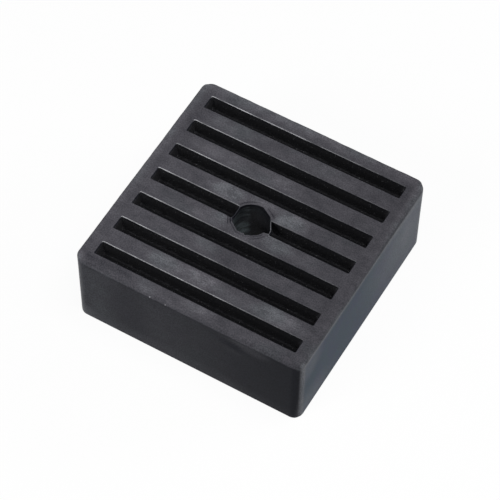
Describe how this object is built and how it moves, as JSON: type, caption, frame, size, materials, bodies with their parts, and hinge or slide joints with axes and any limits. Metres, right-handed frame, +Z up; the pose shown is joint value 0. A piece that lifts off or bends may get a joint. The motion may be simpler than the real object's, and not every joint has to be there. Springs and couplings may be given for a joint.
{
  "type": "anti-vibration machine pad",
  "caption": "Square block of dark grey moulded rubber with parallel blind slots in its top face and a bolt hole through its middle, set under a machine's foot to damp vibration.",
  "frame": {"origin": "centre of the underside, on the bolt hole's axis", "axes": "+Z up along the bolt hole, out of the slotted top face; the slots run along X"},
  "size_m": [0.08, 0.08, 0.03],
  "materials": {
    "rubber": "moulded satin with a pale dry bloom on the top"
  },
  "bodies": {
    "root": {"rubber_pad": "rubber"}
  },
  "joints": []
}
